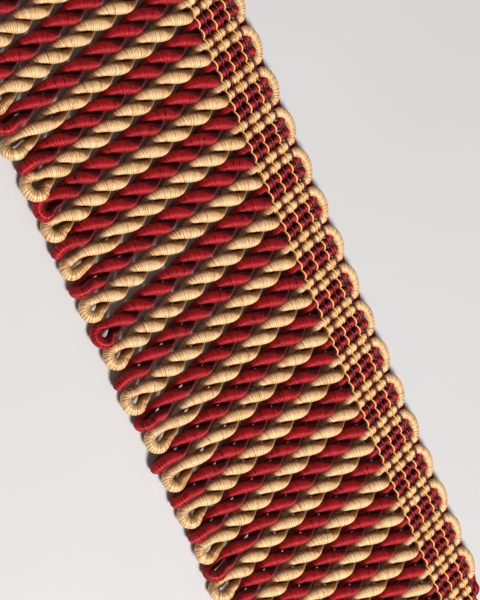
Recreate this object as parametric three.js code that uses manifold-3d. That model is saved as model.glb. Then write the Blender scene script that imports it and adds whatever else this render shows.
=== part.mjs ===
// Cord fringe trim: a cut length of bullion fringe, lying flat with its cords straight out.
// Two wefts, one gold and one wine red, run to and fro across a narrow woven heading.
// Below the heading each pair of rows leaves as one twisted cord that ends in a loop.
// Above it the gold weft makes the scalloped edge and the red weft floats beneath it.
// Millimetres, +X along the heading, +Y from the cords to the scallops, +Z up.
// The origin is at the middle of the heading's flat back.

import * as THREE from 'three';
import { mergeVertices } from 'three/addons/utils/BufferGeometryUtils.js';
import Module from 'manifold-3d';

const wasm = await Module();
wasm.setup();

// Driving sizes
const REPEATS = 20; // each repeat has one gold and one red cord
const REPEAT = 10; // along the heading
const STRAND = 2.15; // thickness of one gimp strand
const HEADING_DEPTH = 10.8; // length of the woven rows
const SKIRT = 56; // from the heading's lower edge to the loop tips
const GROUND_THICKNESS = 0.8; // warp ground under the rows
const CLEARANCE = 0.3; // between pieces
const SCALLOP_REACH = 3.7; // gold edge past the rows
const FLOAT_REACH = 3.3; // red floats past the rows

// Twist of the cords
const HALF_LAY = 6.5; // length of half a turn
const HALF_TURNS = 7.17;
const TWIST_START = 0.3; // from the heading's lower edge
const TWIST_STEPS = 25;
const LOOP_STEPS = 4;

// Sizes worked out from these
const CORD_PITCH = REPEAT / 2;
const ROW_PITCH = REPEAT / 4;
const LENGTH = REPEATS * REPEAT;
const LOWER_EDGE = -HEADING_DEPTH / 2;
const UPPER_EDGE = HEADING_DEPTH / 2;
const ROW_BOTTOM = GROUND_THICKNESS + CLEARANCE;
const ROW_MIDDLE = ROW_BOTTOM + STRAND / 2;
const ROW_TOP = ROW_BOTTOM + STRAND;
const ROOT_OVERLAP = 1.2; // of a cord into its rows

// Section of a cord: a flat bar through its two strands, which press together side by side
const CORD_WIDTH = 1.68 * STRAND;
const CORD_THICKNESS = 0.98 * STRAND;
const CORD_AXIS_HEIGHT = Math.hypot(CORD_WIDTH, CORD_THICKNESS) / 2;

// Section of the cord along its loop, as shares of the cord's own, from the twist to the tip
const LOOP_SECTIONS = [
  { along: 0.00, width: 1.00, thickness: 1.00 },
  { along: 0.35, width: 1.15, thickness: 0.88 },
  { along: 0.65, width: 1.35, thickness: 0.84 },
  { along: 0.88, width: 1.15, thickness: 0.84 },
  { along: 1.00, width: 0.60, thickness: 0.80 },
];

// How far the tips lie to one side of their roots, along the heading
const LEAN = [
  { x: -100, shift: 1.9 },
  { x: -65, shift: 1.8 },
  { x: -57.5, shift: 1.0 },
  { x: -47.5, shift: 0.9 },
  { x: -35, shift: -0.4 },
  { x: -27.5, shift: 0.0 },
  { x: -20, shift: 1.7 },
  { x: -10, shift: 2.5 },
  { x: 0, shift: 3.4 },
  { x: 12.5, shift: 3.2 },
  { x: 40, shift: 1.8 },
  { x: 100, shift: 0.8 },
];

// Uneven lengths of the cords, taken in turn
const EXTRA_LENGTH = [
  -0.4, 0.0, 0.0, -0.2, 0.0, 0.3, 0.9, -0.8, 0.3, 0.0, 0.2,
  0.3, 0.2, 0.4, 0.2, 0.4, -0.2, 0.3, 0.6, 0.0, -0.6, 0.8,
];

// Sections of the links along the upper edge
const LINK_WIDTH = 0.87 * STRAND;
const SCALLOP_BOTTOM = ROW_MIDDLE - 0.1;
const SCALLOP_TOP = ROW_TOP + 0.2;
const FLOAT_HEIGHT = 1.4;
const LINK_STEPS = 6; // round the arc
const LINK_OVERLAP = 1.0; // of a link into its rows

// Value of a table's column at a place, in straight steps from row to row
function lookUp(table, key, column, place) {
  const last = table.length - 1;
  let row = 0;
  while (row < last - 1 && place > table[row + 1][key]) {
    row += 1;
  }
  const from = table[row];
  const to = table[row + 1];
  const share = THREE.MathUtils.inverseLerp(from[key], to[key], place);
  return THREE.MathUtils.lerp(from[column], to[column], THREE.MathUtils.clamp(share, 0, 1));
}

function solidFrom(geometry) {
  geometry.deleteAttribute('normal');
  geometry.deleteAttribute('uv');
  const merged = mergeVertices(geometry, 1e-4);
  const mesh = new wasm.Mesh({
    numProp: 3,
    vertProperties: new Float32Array(merged.attributes.position.array),
    triVerts: new Uint32Array(merged.index.array),
  });
  return new wasm.Manifold(mesh);
}

function geometryFrom(solid) {
  const mesh = solid.getMesh();
  const geometry = new THREE.BufferGeometry();
  geometry.setAttribute('position', new THREE.BufferAttribute(mesh.vertProperties, 3));
  geometry.setIndex(new THREE.BufferAttribute(mesh.triVerts, 1));
  geometry.computeVertexNormals();
  return geometry;
}

// A four-sided bar: a plain box in steps along +Y, each corner moved to its place
function bar(steps, place) {
  const box = new THREE.BoxGeometry(1, 1, 1, 1, steps, 1);
  const points = box.attributes.position;
  for (let i = 0; i < points.count; i += 1) {
    const station = Math.round((points.getY(i) + 0.5) * steps);
    const corner = place(station, points.getX(i), points.getZ(i));
    points.setXYZ(i, corner.x, corner.y, corner.z);
  }
  return solidFrom(box);
}

// Distance from the heading's lower edge to a station of a cord, counted from the tip
function cordStation(station, skirt) {
  const twistEnd = TWIST_START + HALF_TURNS * HALF_LAY;
  if (station <= LOOP_STEPS) {
    const along = LOOP_SECTIONS[LOOP_STEPS - station].along;
    return THREE.MathUtils.lerp(twistEnd, skirt, along);
  }
  const twistStation = station - LOOP_STEPS;
  if (twistStation <= TWIST_STEPS) {
    return THREE.MathUtils.lerp(twistEnd, TWIST_START, twistStation / TWIST_STEPS);
  }
  return -ROOT_OVERLAP;
}

// One twisted cord with its root at x: right-handed, flat at the root and in the loop
function twistedCord(x, skirt) {
  const shift = lookUp(LEAN, 'x', 'shift', x);
  return bar(LOOP_STEPS + TWIST_STEPS + 1, (station, across, up) => {
    const distance = cordStation(station, skirt);
    const halfTurns = Math.min(Math.max(distance - TWIST_START, 0) / HALF_LAY, HALF_TURNS);
    const angle = Math.PI * halfTurns;
    const section = LOOP_SECTIONS[Math.max(LOOP_STEPS - station, 0)];
    const wide = across * CORD_WIDTH * section.width;
    const thick = up * CORD_THICKNESS * section.thickness;
    const settled = THREE.MathUtils.smoothstep(distance, 0, HALF_LAY);
    const axisHeight = THREE.MathUtils.lerp(ROW_MIDDLE, CORD_AXIS_HEIGHT, settled);
    return new THREE.Vector3(
      x + shift * Math.max(distance, 0) / SKIRT + wide * Math.cos(angle) - thick * Math.sin(angle),
      LOWER_EDGE - distance,
      axisHeight + wide * Math.sin(angle) + thick * Math.cos(angle),
    );
  });
}

// One woven row: a gimp strand across the heading, flat below and rounded above
function wovenRow(x) {
  const half = STRAND / 2;
  const section = new THREE.Shape();
  section.moveTo(-half, 0);
  section.lineTo(half, 0);
  section.lineTo(half, 0.65 * STRAND);
  section.lineTo(half / 2, STRAND);
  section.lineTo(-half / 2, STRAND);
  section.lineTo(-half, 0.65 * STRAND);
  const row = new THREE.ExtrudeGeometry(section, { depth: HEADING_DEPTH, bevelEnabled: false });
  row.rotateX(Math.PI / 2);
  row.translate(x, UPPER_EDGE, ROW_BOTTOM);
  return solidFrom(row);
}

// A link round the upper edge from one row to the next of its colour.
// heights gives the underside and top of the link at each station.
function edgeLink(x, halfSpan, reach, heights) {
  const arcHeight = reach - LINK_WIDTH / 2;
  const steps = LINK_STEPS + 2;
  return bar(steps, (station, across, up) => {
    const turn = THREE.MathUtils.clamp((station - 1) / LINK_STEPS, 0, 1);
    const angle = Math.PI * (1 - turn);
    const leg = station === 0 || station === steps ? LINK_OVERLAP : 0;
    const along = new THREE.Vector2(halfSpan * Math.sin(angle), -arcHeight * Math.cos(angle)).normalize();
    const side = across * LINK_WIDTH;
    const { underside, top } = heights(station, steps);
    return new THREE.Vector3(
      x + halfSpan * Math.cos(angle) + side * along.y,
      UPPER_EDGE - leg + arcHeight * Math.sin(angle) - side * along.x,
      THREE.MathUtils.lerp(underside, top, up + 0.5),
    );
  });
}

function scallopHeights() {
  return { underside: SCALLOP_BOTTOM, top: SCALLOP_TOP };
}

// A float leaves its row at the row's height and lies on the surface under the scallops
function floatHeights(station, steps) {
  const atRow = station <= 1 || station >= steps - 1;
  const underside = atRow ? ROW_BOTTOM : 0;
  return { underside, top: underside + FLOAT_HEIGHT };
}

// One weft: its rows, cords and links joined into one body
function weft(firstCord, reach, heights) {
  let body = null;
  for (let repeat = 0; repeat < REPEATS; repeat += 1) {
    const number = 2 * repeat + firstCord;
    const x = -LENGTH / 2 + (number + 0.5) * CORD_PITCH;
    const cord = twistedCord(x, SKIRT + EXTRA_LENGTH[number % EXTRA_LENGTH.length]);
    let piece = cord.add(wovenRow(x - ROW_PITCH / 2)).add(wovenRow(x + ROW_PITCH / 2));
    if (repeat < REPEATS - 1) {
      const halfSpan = (REPEAT - ROW_PITCH) / 2;
      piece = piece.add(edgeLink(x + REPEAT / 2, halfSpan, reach, heights));
    }
    body = body ? body.add(piece) : piece;
  }
  return geometryFrom(body);
}

function yarn(color) {
  return new THREE.MeshStandardMaterial({ color, roughness: 0.6, metalness: 0 });
}

function named(name, geometry, material) {
  const mesh = new THREE.Mesh(geometry, material);
  mesh.name = name;
  return mesh;
}

const ground = new THREE.BoxGeometry(LENGTH, HEADING_DEPTH - CLEARANCE, GROUND_THICKNESS);
ground.translate(0, -CLEARANCE / 2, GROUND_THICKNESS / 2);

const trim = new THREE.Group();
trim.add(named('heading_warp', ground, yarn('#6e1420')));
trim.add(named('gold_weft', weft(0, SCALLOP_REACH, scallopHeights), yarn('#d6b278')));
trim.add(named('red_weft', weft(1, FLOAT_REACH, floatHeights), yarn('#8c1423')));

export default trim;
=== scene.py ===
import math

import bpy
import numpy as np
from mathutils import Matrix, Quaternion, Vector


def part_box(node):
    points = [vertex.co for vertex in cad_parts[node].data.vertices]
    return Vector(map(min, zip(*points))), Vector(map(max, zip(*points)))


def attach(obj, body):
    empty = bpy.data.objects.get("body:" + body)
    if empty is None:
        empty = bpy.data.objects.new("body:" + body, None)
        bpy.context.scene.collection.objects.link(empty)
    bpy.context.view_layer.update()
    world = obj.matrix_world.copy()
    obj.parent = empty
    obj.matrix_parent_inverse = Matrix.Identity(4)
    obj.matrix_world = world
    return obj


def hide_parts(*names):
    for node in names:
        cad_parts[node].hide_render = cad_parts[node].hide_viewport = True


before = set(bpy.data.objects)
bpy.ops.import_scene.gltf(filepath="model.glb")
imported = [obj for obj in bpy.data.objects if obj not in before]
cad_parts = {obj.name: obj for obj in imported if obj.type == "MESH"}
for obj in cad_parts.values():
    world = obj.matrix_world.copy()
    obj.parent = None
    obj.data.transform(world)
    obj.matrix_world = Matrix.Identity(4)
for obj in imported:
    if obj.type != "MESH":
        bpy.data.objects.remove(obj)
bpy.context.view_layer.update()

# Bullion fringe lying flat. Two continuous gimp strands, one gold and one wine red, are woven to
# and fro across a narrow heading. Each pair of rows leaves the heading as one twisted cord that
# ends in a loop, and fine binding threads run along the heading over the rows.
# All sizes are in millimetres until a mesh is made. X runs along the heading, the cords point to
# -Y and the scalloped edge to +Y.
MM = 0.001

heading_low, heading_high = (np.array(corner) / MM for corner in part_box("heading_warp"))
gold_high = np.array(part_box("gold_weft")[1]) / MM
red_high = np.array(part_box("red_weft")[1]) / MM

# Heading
REPEATS = 20
LENGTH = heading_high[0] - heading_low[0]
REPEAT = LENGTH / REPEATS
CORD_PITCH = REPEAT / 2
ROW_PITCH = REPEAT / 4
LOWER_EDGE = heading_low[1]
UPPER_EDGE = -LOWER_EDGE
GROUND_TOP = heading_high[2]
ROW_CLEARANCE = 0.3

# Gimp strand, and its half sizes in the rows
STRAND = 2.15
RADIUS = STRAND / 2
ROW_MIDDLE = GROUND_TOP + ROW_CLEARANCE + RADIUS
ROW_WIDE = 1.14 * RADIUS
ROW_HIGH = 1.02 * RADIUS

# Rows: the length of a bead between binding threads and how uneven it is, and how far a row wanders
# to one side, with the ranges of the wave's start and of its turn to a millimetre, in radians
BEAD = 2.05
BEAD_UNEVEN = 0.05
ROW_WANDER = 0.08
WANDER_START = (0.0, 6.28)
WANDER_TURN = (0.6, 1.2)

# Twist of the cords, counted from the heading's lower edge
SKIRT = 56.0
HALF_LAY = 6.5
LAY_UNEVEN = (0.98, 1.02)
TWIST_START = 0.8
TWIST_EASE = 10.0
SETTLING_LENGTH = 16.0

# In a cord each soft strand is pressed in on its inner side, and an open groove is left between the
# two. In the loop the strand is round again.
HELIX_RADIUS = 0.90
PRESSED_WIDE = 1.40
PRESSED_HIGH = 1.36
PRESSED_INNER = 0.42
LOOSE_RADIUS = 1.26
FLOOR_ROOM = 0.03
CORD_REST = HELIX_RADIUS + PRESSED_WIDE + FLOOR_ROOM

# A cord is fuller near the heading and tighter towards its loop
FULL_ROOT = 1.06
FULL_UNTIL = 8.0
TIGHT_FROM = 35.0

# At the root the two strands leave their rows and close up, with a short waist under the last thread
CLOSING_LENGTH = 3.0
ROOT_HEIGHT_LENGTH = 2.5
WAIST = 0.2
WAIST_LENGTH = 0.6

# A cord sways a little from side to side, and rises where its loop stands on edge
SWAY = (0.05, 0.12)
SWAY_LENGTH = 9.0
SWAY_FROM = 4.0
SWAY_FULL = 20.0
RISE_FROM = SKIRT - 14.0
RISE_FULL = SKIRT - 5.0

# Painted shade, where light would hardly reach: in a cord the side towards the other strand, turned
# with the twist, and in the heading the sides of a row. A loop is open, so its inner side gets less
# painted shade.
CREVICE_LEAN = math.radians(50.0)
CREVICE_EDGE = 0.2
CREVICE_FADE = 1.2
ROW_SIDE_EDGE = 1.5
ROW_SIDE_FADE = 2.5
LOOP_OPENNESS = 0.7

# Links round the upper edge, which are thinner where they leave the rows
LINK_ROOT_WIDE = 0.8 * RADIUS
LINK_ROOT_HIGH = 0.7 * RADIUS
LINK_SWELLING = 0.4
LINK_UNEVEN = (-0.05, 0.02)

# Binding threads: places across the heading, from the cords to the scallops
YELLOW_BINDINGS = [LOWER_EDGE + 0.7, LOWER_EDGE + 4.81, LOWER_EDGE + 8.92]
RED_BINDINGS = [LOWER_EDGE + 2.75, LOWER_EDGE + 6.86, LOWER_EDGE + 10.65]
YELLOW_THREAD = 0.34
RED_THREAD = 0.42
# They start a little inside the cut end, sag between the rows, and lie flat on them by this power
BINDING_INSET = 0.05
BINDING_SAG = 0.2
BINDING_CREST = 0.55

# How far along a row a thread draws it in, the shares of its height and width that are lost there,
# and how much painted shade that place gets
YELLOW_PINCH = 0.42
YELLOW_DIP = 0.40
YELLOW_NARROWING = 0.22
YELLOW_SHADE = 0.3
RED_PINCH = 0.58
RED_DIP = 0.62
RED_NARROWING = 0.48
RED_SHADE = 0.6

# Warp ground under the rows: its threads, and how far they wave up and down
GROUND_THREAD = 0.5
GROUND_WAVE = 0.13

# Fineness of the meshes
STRAND_SIDES = 12
YELLOW_SIDES = 8
RED_SIDES = 6
ROW_STEP = 0.2
CORD_STEP = 0.5
LOOP_STEPS = 12
LINK_STEPS = 32
BINDING_STEP = 0.14
GROUND_STEP = 0.5

# How far the tips lie to one side of their roots, along the heading
LEAN = np.array([
    (-100.0, 1.9), (-65.0, 1.8), (-57.5, 1.0), (-47.5, 0.9), (-35.0, -0.4), (-27.5, 0.0),
    (-20.0, 1.7), (-10.0, 2.5), (0.0, 3.4), (12.5, 3.2), (40.0, 1.8), (100.0, 0.8),
])

# Loops, taken in turn from the first cord: extra length, the turn of the loop's plane in half turns
# (0 lies flat), half the width of the loop, and the length over which its two sides part
LOOPS = [
    (-0.4, 0.15, 1.60, 2.2),
    (0.0, 0.60, 1.35, 2.0),
    (0.0, 0.17, 1.70, 1.8),
    (-0.2, 0.58, 1.40, 2.0),
    (0.0, 0.12, 1.55, 2.4),
    (0.3, 0.35, 1.55, 2.5),
    (0.9, 0.30, 1.70, 1.8),
    (-0.8, 0.62, 1.30, 2.0),
    (0.3, 0.17, 2.20, 1.5),
    (0.0, 0.04, 1.75, 2.2),
    (0.2, 0.20, 1.70, 1.4),
    (0.3, 0.68, 1.25, 2.0),
    (0.2, 0.17, 1.34, 3.2),
    (0.4, 0.48, 1.50, 2.2),
    (0.2, 0.17, 1.65, 1.4),
    (0.4, 0.17, 1.90, 1.5),
    (-0.2, 0.12, 1.70, 2.0),
    (0.3, 0.66, 1.25, 2.0),
    (0.6, 0.17, 1.80, 1.5),
    (0.0, 0.45, 1.45, 2.4),
    (-0.6, 0.14, 1.70, 2.6),
    (0.8, 0.64, 1.30, 2.0),
]

random = np.random.default_rng(11)


def ease(low, high, value):
    """From 0 at low to 1 at high, with a soft start and end."""
    share = np.clip((value - low) / (high - low), 0.0, 1.0)
    return share * share * (3.0 - 2.0 * share)


def ramp(value):
    """Nothing below 0 and the value itself above it, with a rounded bend between."""
    return np.logaddexp(0.0, TWIST_EASE * value) / TWIST_EASE


def stretch(x, y, z, guide, wide, high, inner=1.0, twisted=0.0, woven=0.0, shade=0.0):
    """One stretch of a strand: its middle line, the side that stays on top, its half sizes, how
    much of its width is left on its inner side, how much painted shade that side gets in a twisted
    cord (less than 0 on the way down it) or both its sides get between woven rows, and how much
    painted shade all of it gets."""
    count = np.broadcast(x, y, z, wide, high, inner).size
    middle = np.stack([np.broadcast_to(part, count) for part in (x, y, z)], axis=1)
    return {
        "middle": middle.astype(float),
        "guide": np.broadcast_to(np.asarray(guide, float), (count, 3)),
        "wide": np.broadcast_to(wide, count),
        "high": np.broadcast_to(high, count),
        "inner": np.broadcast_to(inner, count),
        "twisted": np.broadcast_to(twisted, count),
        "woven": np.broadcast_to(woven, count),
        "shade": np.broadcast_to(shade, count),
    }


def joined(stretches):
    return {key: np.concatenate([part[key] for part in stretches]) for key in stretches[0]}


def pinch(y, yellow, red):
    """What the binding threads do to a row across the heading, for each kind of thread."""
    drawn = np.zeros_like(y)
    for place in YELLOW_BINDINGS:
        drawn = np.maximum(drawn, yellow * np.exp(-((y - place) / YELLOW_PINCH) ** 2))
    for place in RED_BINDINGS:
        drawn = np.maximum(drawn, red * np.exp(-((y - place) / RED_PINCH) ** 2))
    return drawn


def woven_row(x, inwards):
    """One row across the heading, drawn in to beads by the binding threads."""
    steps = int(round((UPPER_EDGE - LOWER_EDGE) / ROW_STEP))
    y = np.linspace(UPPER_EDGE, LOWER_EDGE, steps + 1)
    if not inwards:
        y = y[::-1]
    bead = np.round((y - LOWER_EDGE) / BEAD)
    swell = random.uniform(-BEAD_UNEVEN, BEAD_UNEVEN, int(bead.max()) + 1)[bead.astype(int)]
    wander = ROW_WANDER * np.sin(random.uniform(*WANDER_START) + y * random.uniform(*WANDER_TURN))
    wide = ROW_WIDE * (1.0 + swell / 2) * (1.0 - pinch(y, YELLOW_NARROWING, RED_NARROWING))
    high = ROW_HIGH * (1.0 + swell) * (1.0 - pinch(y, YELLOW_DIP, RED_DIP))
    # Painted shade where the binding threads draw the row in, and on the row's sides.
    return stretch(x + wander, y, ROW_MIDDLE, (0.0, 0.0, 1.0), wide, high, woven=1.0,
                   shade=pinch(y, YELLOW_SHADE, RED_SHADE))


def twisted_cord(x, loop):
    """Down one strand of a cord, round its loop and back up the other strand."""
    extra, plane, eye, parting = loop
    lean = np.interp(x, LEAN[:, 0], LEAN[:, 1])
    wave = random.uniform(0.0, 2.0 * math.pi)
    sway = random.uniform(*SWAY)
    lay = HALF_LAY * random.uniform(*LAY_UNEVEN)
    loop_middle = SKIRT + extra - LOOSE_RADIUS - eye
    opening = loop_middle - parting
    start = ramp(-TWIST_START / lay)
    free_turns = (opening - TWIST_START) / lay - start
    settling = round(free_turns - plane) + plane - free_turns
    loop_height = max(CORD_REST, LOOSE_RADIUS + eye * abs(math.sin(math.pi * plane)))

    def fullness_at(s):
        return np.interp(s, [FULL_UNTIL, TIGHT_FROM], [FULL_ROOT, 1.0])

    def axis_at(s):
        settled = ease(0.0, HALF_LAY / 2, s)
        height = ROW_MIDDLE + (CORD_REST * fullness_at(s) - ROW_MIDDLE) * settled
        height = height + (loop_height - CORD_REST) * ease(RISE_FROM, RISE_FULL, s)
        swaying = sway * np.sin(wave + s / SWAY_LENGTH) * ease(SWAY_FROM, SWAY_FULL, s)
        return x + (lean * s / SKIRT + swaying), LOWER_EDGE - s, height

    def angle_at(s):
        """The twist, brought to the loop's own plane over the last stretch before it opens."""
        turns = ramp((s - TWIST_START) / lay) - ramp((s - opening) / lay)
        return math.pi * (turns - start + settling * ease(opening - SETTLING_LENGTH, opening, s))

    def spread_at(s):
        pressed = HELIX_RADIUS * fullness_at(s)
        closing = ROW_PITCH / 2 + (pressed - ROW_PITCH / 2) * ease(0.0, CLOSING_LENGTH, s)
        return closing + (eye - pressed) * ease(opening, loop_middle, s)

    def on_cord(s, across, along, lead):
        """A point across and along from the axis at s, in the plane of the two strands. Lead is -1
        on the way down and 1 on the way back."""
        axis_x, axis_y, axis_z = axis_at(s)
        angle = angle_at(s)
        guide = np.stack([-np.sin(angle), np.zeros_like(angle), np.cos(angle)], axis=1)
        loose = ease(opening, loop_middle, s)
        held = fullness_at(s) * (1.0 - WAIST * np.exp(-(s / WAIST_LENGTH) ** 2))
        wide = (PRESSED_WIDE + (LOOSE_RADIUS - PRESSED_WIDE) * loose) * held
        high = (PRESSED_HIGH + (LOOSE_RADIUS - PRESSED_HIGH) * loose) * held
        high = high + (ROW_HIGH - PRESSED_HIGH) * (1.0 - ease(0.0, ROOT_HEIGHT_LENGTH, s))
        inner = PRESSED_INNER + (1.0 - PRESSED_INNER) * loose
        # Twisted sets the painted shade on the strand's inner side, which is less in the open loop.
        return stretch(axis_x + across * np.cos(angle), axis_y - along,
                       axis_z + across * np.sin(angle), guide, wide, high, inner,
                       twisted=lead * (1.0 - LOOP_OPENNESS * loose))

    steps = int(round(loop_middle / CORD_STEP))
    down = np.linspace(0.0, loop_middle, steps + 1)[1:]
    turn = np.linspace(0.0, math.pi, LOOP_STEPS + 1)[1:-1]
    end = np.full_like(turn, loop_middle)
    return joined([
        on_cord(down, -spread_at(down), 0.0, -1.0),
        on_cord(end, -eye * np.cos(turn), eye * np.sin(turn), -np.cos(turn)),
        on_cord(down[::-1], spread_at(down[::-1]), 0.0, 1.0),
    ])


def edge_link(x, reach, wide, high, height, dive):
    """Half an ellipse round the upper edge, from a row of one repeat to the next repeat's row. The
    two values of dive are the shares of its reach where it leaves the rows' height for its own."""
    half_span = (REPEAT - ROW_PITCH) / 2
    turn = np.linspace(0.0, math.pi, LINK_STEPS + 1)[1:-1]
    swelling = ease(0.0, LINK_SWELLING, np.sin(turn))
    level = ease(dive[0], dive[1], np.sin(turn))
    uneven = 1.0 + random.uniform(*LINK_UNEVEN)
    y = UPPER_EDGE + (reach - wide) * uneven * np.sin(turn)
    z = ROW_MIDDLE + (height - ROW_MIDDLE) * level
    return stretch(x - half_span * np.cos(turn), y, z, (0.0, 0.0, 1.0),
                   LINK_ROOT_WIDE + (wide - LINK_ROOT_WIDE) * swelling,
                   LINK_ROOT_HIGH + (high - LINK_ROOT_HIGH) * swelling)


def weft(first_cord, link):
    """One continuous strand through the whole trim: row, cord, row and edge link of each repeat."""
    stretches = []
    for repeat in range(REPEATS):
        x = -LENGTH / 2 + (first_cord + 0.5) * CORD_PITCH + repeat * REPEAT
        number = 2 * repeat + first_cord
        loop = LOOPS[number % len(LOOPS)]
        stretches.append(woven_row(x - ROW_PITCH / 2, True))
        stretches.append(twisted_cord(x, loop))
        stretches.append(woven_row(x + ROW_PITCH / 2, False))
        if repeat < REPEATS - 1:
            stretches.append(edge_link(x + REPEAT / 2, **link))
    return joined(stretches)


def painted_shade_share(strand, turn):
    """How much painted shade each point round a strand gets, where light would hardly reach."""
    lead = np.sign(strand["twisted"])[:, None]
    inwards = np.clip(CREVICE_EDGE - CREVICE_FADE * np.cos(turn + lead * CREVICE_LEAN), 0.0, 1.0)
    sideways = np.clip(ROW_SIDE_FADE * np.abs(np.cos(turn)) - ROW_SIDE_EDGE, 0.0, 1.0)
    return (np.abs(strand["twisted"])[:, None] * inwards + strand["woven"][:, None] * sideways
            + strand["shade"][:, None])


def strand_rings(strand, turn):
    """A ring of points round each point of a strand's middle line."""
    middle = strand["middle"]
    ahead = np.gradient(middle, axis=0)
    ahead /= np.linalg.norm(ahead, axis=1, keepdims=True)
    up = strand["guide"] - ahead * np.sum(strand["guide"] * ahead, axis=1, keepdims=True)
    up /= np.linalg.norm(up, axis=1, keepdims=True)
    side = np.cross(ahead, up)
    across = np.where(np.cos(turn) < 0.0, strand["inner"][:, None], 1.0) * np.cos(turn)
    return (middle[:, None, :]
            + (strand["wide"][:, None] * across)[:, :, None] * side[:, None, :]
            + (strand["high"][:, None] * np.sin(turn))[:, :, None] * up[:, None, :])


def tube_mesh(name, strands, sides):
    """A closed tube round each strand, all in one mesh. Its UV map gives the way along the strand in
    millimetres and the share of the way round it."""
    points, faces, along_round, painted_shade = [], [], [], []
    first = 0
    turn = 2.0 * math.pi * np.arange(sides) / sides
    for strand in strands:
        middle = strand["middle"]
        rings = len(middle)
        points.append(strand_rings(strand, turn).reshape(-1, 3))
        painted_shade.append(painted_shade_share(strand, turn).ravel())
        gone = np.concatenate([[0.0], np.cumsum(np.linalg.norm(np.diff(middle, axis=0), axis=1))])

        i, j = np.meshgrid(np.arange(rings - 1), np.arange(sides), indexing="ij")
        k = (j + 1) % sides
        here, ahead = i * sides, (i + 1) * sides
        corners = np.stack([here + j, ahead + j, ahead + k, here + k], axis=2)
        faces.extend((corners.reshape(-1, 4) + first).tolist())
        faces.append([first + n for n in range(sides)])
        faces.append([first + (rings - 1) * sides + n for n in reversed(range(sides))])
        spots = np.stack([
            np.stack([gone[i], j / sides], axis=2),
            np.stack([gone[i + 1], j / sides], axis=2),
            np.stack([gone[i + 1], (j + 1) / sides], axis=2),
            np.stack([gone[i], (j + 1) / sides], axis=2),
        ], axis=2)
        along_round.append(spots.reshape(-1, 2))
        for end in (0.0, gone[-1]):
            along_round.append(np.stack([np.full(sides, end), np.arange(sides) / sides], axis=1))
        first += rings * sides

    mesh = bpy.data.meshes.new(name)
    mesh.from_pydata((np.concatenate(points) * MM).tolist(), [], faces)
    uv = mesh.uv_layers.new(name="strand")
    uv.data.foreach_set("uv", np.concatenate(along_round).ravel())
    # How much painted shade each point gets, which the material turns into a darker tone.
    mesh.attributes.new("painted_shade", "FLOAT", "POINT").data.foreach_set("value", np.concatenate(painted_shade))
    mesh.polygons.foreach_set("use_smooth", np.ones(len(mesh.polygons), bool))
    mesh.update()
    return mesh


def piece(name, strands, sides, material):
    mesh = tube_mesh(name, strands, sides)
    mesh.materials.append(material)
    made = bpy.data.objects.new(name, mesh)
    bpy.context.scene.collection.objects.link(made)
    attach(made, "root")
    return made


# Materials


def linear(hex_colour):
    """An sRGB hex colour as linear values with alpha."""
    parts = [int(hex_colour[i:i + 2], 16) / 255 for i in (1, 3, 5)]
    return tuple(c / 12.92 if c <= 0.04045 else ((c + 0.055) / 1.055) ** 2.4 for c in parts) + (1.0,)


def add_node(tree, kind, inputs=None, **settings):
    """Adds a node with its settings, and links or sets its inputs."""
    node = tree.nodes.new(kind)
    for name, value in settings.items():
        setattr(node, name, value)
    for socket, value in (inputs or {}).items():
        if isinstance(value, bpy.types.NodeSocket):
            tree.links.new(value, node.inputs[socket])
        else:
            node.inputs[socket].default_value = value
    return node


def new_material(name):
    material = bpy.data.materials.new(name)
    material.use_nodes = True
    tree = material.node_tree
    tree.nodes.clear()
    return material, tree


# Wrap of the gimp. Such thread is about 0.2 mm wide, too fine for a picture of the whole trim, so it
# is drawn about twice as coarse.
WRAP = 0.42
WRAP_RELIEF = 0.16
# Ridges are rounded by this power. The wraps crowd and part in waves, counted to a millimetre, and
# move along the strand by this many millimetres.
RIDGE_POWER = 0.7
CROWDING_WAVES = 0.9
CROWDING_MOVE = 0.9
# Tone of the gimp: how much single threads and streaks change it, how much painted shade darkens it
# where light would hardly reach, and where the colours of valley and body stand between the deepest
# and the crest. The low valley tone in the grooves between wraps and the deepest tone are painted
# shade.
THREAD_TONE = 0.45
STREAK_WAVES = 2.4
STREAK_TONE = 0.7
TONE_LOSS = 0.4
PAINTED_SHADE_TONE = -1.4
VALLEY_AT = 0.35
BODY_AT = 0.85


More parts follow.
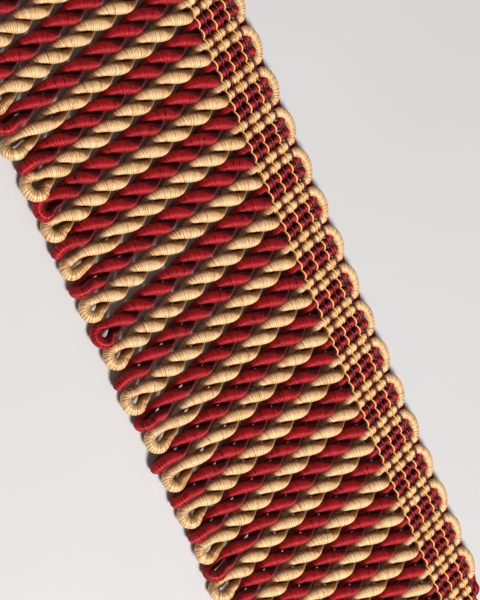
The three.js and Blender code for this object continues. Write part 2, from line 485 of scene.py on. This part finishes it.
def viscose_gimp(name, deep, valley, body, crest, shine, relief):
    """Gimp: viscose threads wrapped closely round a soft core, which gives fine rounded ridges
    across the strand, thread by thread uneven in width and tone, and the silky shine of viscose,
    drawn out along the strand. Its IOR is above plain viscose's, to match that shine. The grooves
    between wraps and the side of a strand where light would hardly reach get a darker tone, which is
    painted shade."""
    material, tree = new_material(name)
    uv = add_node(tree, "ShaderNodeUVMap", uv_map="strand")
    place = add_node(tree, "ShaderNodeSeparateXYZ", {0: uv.outputs[0]})

    # Number of the wrap at a place, with a fraction
    crowding = add_node(tree, "ShaderNodeTexNoise", {
        "W": place.outputs[0], "Scale": CROWDING_WAVES, "Detail": 2.0,
    }, noise_dimensions="1D")
    along = add_node(tree, "ShaderNodeMath", {
        0: crowding.outputs[0], 1: CROWDING_MOVE, 2: place.outputs[0],
    }, operation="MULTIPLY_ADD")
    count = add_node(tree, "ShaderNodeMath", {
        0: along.outputs[0], 1: 1.0 / WRAP, 2: place.outputs[1],
    }, operation="MULTIPLY_ADD")

    # One rounded ridge to a wrap, each thread with its own tone
    wrapped = add_node(tree, "ShaderNodeMath", {0: count.outputs[0], 1: math.pi}, operation="MULTIPLY")
    wave = add_node(tree, "ShaderNodeMath", {0: wrapped.outputs[0]}, operation="SINE")
    fold = add_node(tree, "ShaderNodeMath", {0: wave.outputs[0]}, operation="ABSOLUTE")
    ridge = add_node(tree, "ShaderNodeMath", {0: fold.outputs[0], 1: RIDGE_POWER}, operation="POWER")
    number = add_node(tree, "ShaderNodeMath", {0: count.outputs[0]}, operation="FLOOR")
    thread = add_node(tree, "ShaderNodeTexWhiteNoise", {"W": number.outputs[0]}, noise_dimensions="1D")
    lift = add_node(tree, "ShaderNodeMath", {
        0: thread.outputs[0], 1: THREAD_TONE, 2: ridge.outputs[0],
    }, operation="MULTIPLY_ADD")

    # Tone from the ridges, streaks and painted shade: the grooves between wraps and the sides where
    # light would hardly reach are painted darker
    streaks = add_node(tree, "ShaderNodeTexNoise", {
        "Vector": uv.outputs[0], "Scale": STREAK_WAVES, "Detail": 3.0,
    }, noise_dimensions="2D")
    mixed = add_node(tree, "ShaderNodeMath", {
        0: streaks.outputs[0], 1: STREAK_TONE, 2: lift.outputs[0],
    }, operation="MULTIPLY_ADD")
    even = add_node(tree, "ShaderNodeMath", {0: mixed.outputs[0], 1: TONE_LOSS}, operation="SUBTRACT")
    # Painted shade: the tone is darkened where the strand's attribute says light would hardly reach.
    painted_shade_mask = add_node(tree, "ShaderNodeAttribute", attribute_name="painted_shade")
    tone_with_painted_shade = add_node(tree, "ShaderNodeMath", {
        0: painted_shade_mask.outputs["Fac"], 1: PAINTED_SHADE_TONE, 2: even.outputs[0],
    }, operation="MULTIPLY_ADD")
    tone = add_node(tree, "ShaderNodeValToRGB", {0: tone_with_painted_shade.outputs[0]})
    stops = tone.color_ramp.elements
    stops[0].position = 0.0
    stops[0].color = linear(deep)
    stops[1].position = VALLEY_AT
    stops[1].color = linear(valley)
    stops.new(BODY_AT).color = linear(body)
    stops.new(1.0).color = linear(crest)

    bump = add_node(tree, "ShaderNodeBump", {
        "Height": lift.outputs[0], "Strength": relief, "Distance": WRAP_RELIEF * MM,
    })
    lengthwise = add_node(tree, "ShaderNodeTangent", direction_type="UV_MAP", uv_map="strand")
    surface = add_node(tree, "ShaderNodeBsdfPrincipled", {
        "Base Color": tone.outputs[0], "Roughness": 0.55, "IOR": 1.7, "Specular IOR Level": 1.0,
        "Specular Tint": linear(shine), "Anisotropic": 0.85, "Tangent": lengthwise.outputs[0],
        "Normal": bump.outputs[0],
    })
    add_node(tree, "ShaderNodeOutputMaterial", {0: surface.outputs[0]})
    return material


# Binding thread: the length of one ridge of its two yarns, and their height
PLY = 0.6
PLY_RELIEF = 0.1


def binding_thread(name, dark, light):
    """Fine plied viscose thread: two yarns twisted together, so slanting ridges run along it. The
    grooves between the yarns are painted darker, as painted shade.
    """
    material, tree = new_material(name)
    uv = add_node(tree, "ShaderNodeUVMap", uv_map="strand")
    place = add_node(tree, "ShaderNodeSeparateXYZ", {0: uv.outputs[0]})
    turned = add_node(tree, "ShaderNodeMath", {
        0: place.outputs[1], 1: 2.0 * math.pi,
    }, operation="MULTIPLY")
    phase = add_node(tree, "ShaderNodeMath", {
        0: place.outputs[0], 1: math.pi / PLY, 2: turned.outputs[0],
    }, operation="MULTIPLY_ADD")
    wave = add_node(tree, "ShaderNodeMath", {0: phase.outputs[0]}, operation="SINE")
    ridge = add_node(tree, "ShaderNodeMath", {0: wave.outputs[0]}, operation="ABSOLUTE")
    # Painted shade: the dark colour sits in the grooves between the yarns, and the light colour on the
    # ridges.
    tone = add_node(tree, "ShaderNodeMix", {
        "Factor": ridge.outputs[0], 6: linear(dark), 7: linear(light),
    }, data_type="RGBA")
    bump = add_node(tree, "ShaderNodeBump", {
        "Height": ridge.outputs[0], "Strength": 0.6, "Distance": PLY_RELIEF * MM,
    })
    surface = add_node(tree, "ShaderNodeBsdfPrincipled", {
        "Base Color": tone.outputs[2], "Roughness": 0.4, "IOR": 1.53, "Normal": bump.outputs[0],
    })
    add_node(tree, "ShaderNodeOutputMaterial", {0: surface.outputs[0]})
    return material


# Mottle of the card, in waves to a metre
CARD_MOTTLE = 12.0


def matt_card():
    """Pale matt card: nearly even, with a faint mottle."""
    material, tree = new_material("matt_card")
    where = add_node(tree, "ShaderNodeTexCoord")
    mottle = add_node(tree, "ShaderNodeTexNoise", {
        "Vector": where.outputs["Object"], "Scale": CARD_MOTTLE,
    })
    tone = add_node(tree, "ShaderNodeMix", {
        "Factor": mottle.outputs[0], 6: linear("#B5B5B5"), 7: linear("#BABABB"),
    }, data_type="RGBA")
    surface = add_node(tree, "ShaderNodeBsdfPrincipled", {
        "Base Color": tone.outputs[2], "Roughness": 0.9,
    })
    add_node(tree, "ShaderNodeOutputMaterial", {0: surface.outputs[0]})
    return material


# The deep and valley colours carry painted shade: deep for the sides where light would hardly reach,
# valley for the grooves between wraps.
gold_gimp = viscose_gimp("gold_viscose_gimp", deep="#6E3C12", valley="#AA7436", body="#C2986A",
                         crest="#DCB688", shine="#FFDDB2", relief=0.6)
red_gimp = viscose_gimp("wine_viscose_gimp", deep="#060000", valley="#300104", body="#740810",
                        crest="#94101A", shine="#E86666", relief=0.5)
yellow_silk = binding_thread("yellow_binding_thread", dark="#C98A3A", light="#FFC878")
wine_silk = binding_thread("wine_binding_thread", dark="#3E060E", light="#6E0F1C")


# Wefts. The gold links lie on top as scallops, and the red links dive to the surface under them. The
# round strand reaches a little past the solids.

gold_link = {
    "reach": gold_high[1] + 0.1 - UPPER_EDGE,
    "wide": 1.03 * RADIUS,
    "high": 0.98 * RADIUS,
    "height": ROW_MIDDLE + 0.25,
    "dive": (0.0, 0.5),
}
red_link = {
    "reach": red_high[1] + 0.5 - UPPER_EDGE,
    "wide": 0.95 * RADIUS,
    "high": 0.7 * RADIUS,
    "height": 0.72 * RADIUS,
    "dive": (0.5, 0.9),
}

gold_strand = piece("gold_weft_strand", [weft(0, gold_link)], STRAND_SIDES, gold_gimp)
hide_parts("gold_weft")

red_strand = piece("red_weft_strand", [weft(1, red_link)], STRAND_SIDES, red_gimp)
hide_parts("red_weft")


# Binding threads over the rows, and the warp ground under them


def over_rows(y, thread, dip):
    """A binding thread that goes over every row and dips between them."""
    x = np.arange(-LENGTH / 2 + BINDING_INSET, LENGTH / 2, BINDING_STEP)
    row_top = ROW_MIDDLE + ROW_HIGH * (1.0 - dip) + thread / 2
    between = ROW_MIDDLE - BINDING_SAG
    crest = np.abs(np.sin(math.pi * (x + LENGTH / 2) / ROW_PITCH)) ** BINDING_CREST
    z = between + (row_top - between) * crest
    return stretch(x, y, z, (0.0, 1.0, 0.0), thread / 2, thread / 2)


def under_rows(y, number):
    """A warp thread of the ground, waving a little up and down past its neighbours."""
    x = np.arange(-LENGTH / 2, LENGTH / 2 + GROUND_STEP / 2, GROUND_STEP)
    z = GROUND_TOP / 2 + GROUND_WAVE * np.sin(2.0 * math.pi * x / ROW_PITCH + math.pi * number)
    return stretch(x, y, z, (0.0, 1.0, 0.0), GROUND_THREAD / 2, GROUND_THREAD / 2)


ground_places = np.arange(heading_low[1] + GROUND_THREAD / 2, heading_high[1], GROUND_THREAD)
yellow_ground = [int(np.argmin(np.abs(ground_places - place))) for place in YELLOW_BINDINGS]
yellow_lines = [over_rows(place, YELLOW_THREAD, YELLOW_DIP) for place in YELLOW_BINDINGS]
red_lines = [over_rows(place, RED_THREAD, RED_DIP) for place in RED_BINDINGS]
for number, place in enumerate(ground_places):
    lines = yellow_lines if number in yellow_ground else red_lines
    lines.append(under_rows(place, number))

red_warp = piece("red_warp_threads", red_lines, RED_SIDES, wine_silk)
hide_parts("heading_warp")
piece("yellow_binding_threads", yellow_lines, YELLOW_SIDES, yellow_silk)


# Stage, a floor of so many metres

FLOOR_SIZE = 3.0

bpy.ops.object.select_all(action="DESELECT")
bpy.ops.mesh.primitive_plane_add(size=FLOOR_SIZE, location=(0.0, 0.0, 0.0))
floor = bpy.context.object
floor.name = "floor"
floor.data.materials.append(matt_card())

# Light: one soft lamp, high up on the loops' side and towards one end, and a pale room

AIM = Vector((-5.5, -21.7, 0.0)) * MM
# In metres and watts, as Blender's lamps are
LAMP_DIRECTION = Vector((0.42, -0.42, 0.8)).normalized()
LAMP_DISTANCE = 1.2
LAMP_PLACE = AIM + LAMP_DIRECTION * LAMP_DISTANCE
LAMP_SIZE = 0.35
LAMP_POWER = 24.5
ROOM_STRENGTH = 0.24

bpy.ops.object.light_add(type="AREA", location=LAMP_PLACE)
lamp = bpy.context.object
lamp.name = "overhead"
lamp.rotation_mode = "QUATERNION"
lamp.rotation_quaternion = (AIM - LAMP_PLACE).to_track_quat("-Z", "Y")
lamp.data.size = LAMP_SIZE
lamp.data.energy = LAMP_POWER
lamp.data.color = linear("#FFFCFA")[:3]

world = bpy.data.worlds.new("pale_room")
bpy.context.scene.world = world
world.use_nodes = True
world.node_tree.nodes["Background"].inputs[0].default_value = linear("#FFFFFF")
world.node_tree.nodes["Background"].inputs[1].default_value = ROOM_STRENGTH

# The camera looks down at about 45 degrees from the loops' side, turned on its side

CAMERA_PLACE = Vector((-209.3, -293.4, 364.7)) * MM
CAMERA_ROLL = math.radians(95.1)
SENSOR_WIDTH = 36.0
LENS = 138.5

bpy.ops.object.camera_add(location=CAMERA_PLACE)
camera = bpy.context.object
camera.rotation_mode = "QUATERNION"
level_view = (AIM - CAMERA_PLACE).to_track_quat("-Z", "Y")
camera.rotation_quaternion = level_view @ Quaternion((0.0, 0.0, 1.0), CAMERA_ROLL)
camera.data.sensor_width = SENSOR_WIDTH
camera.data.lens = LENS
bpy.context.scene.camera = camera
bpy.context.scene.view_settings.view_transform = "Standard"
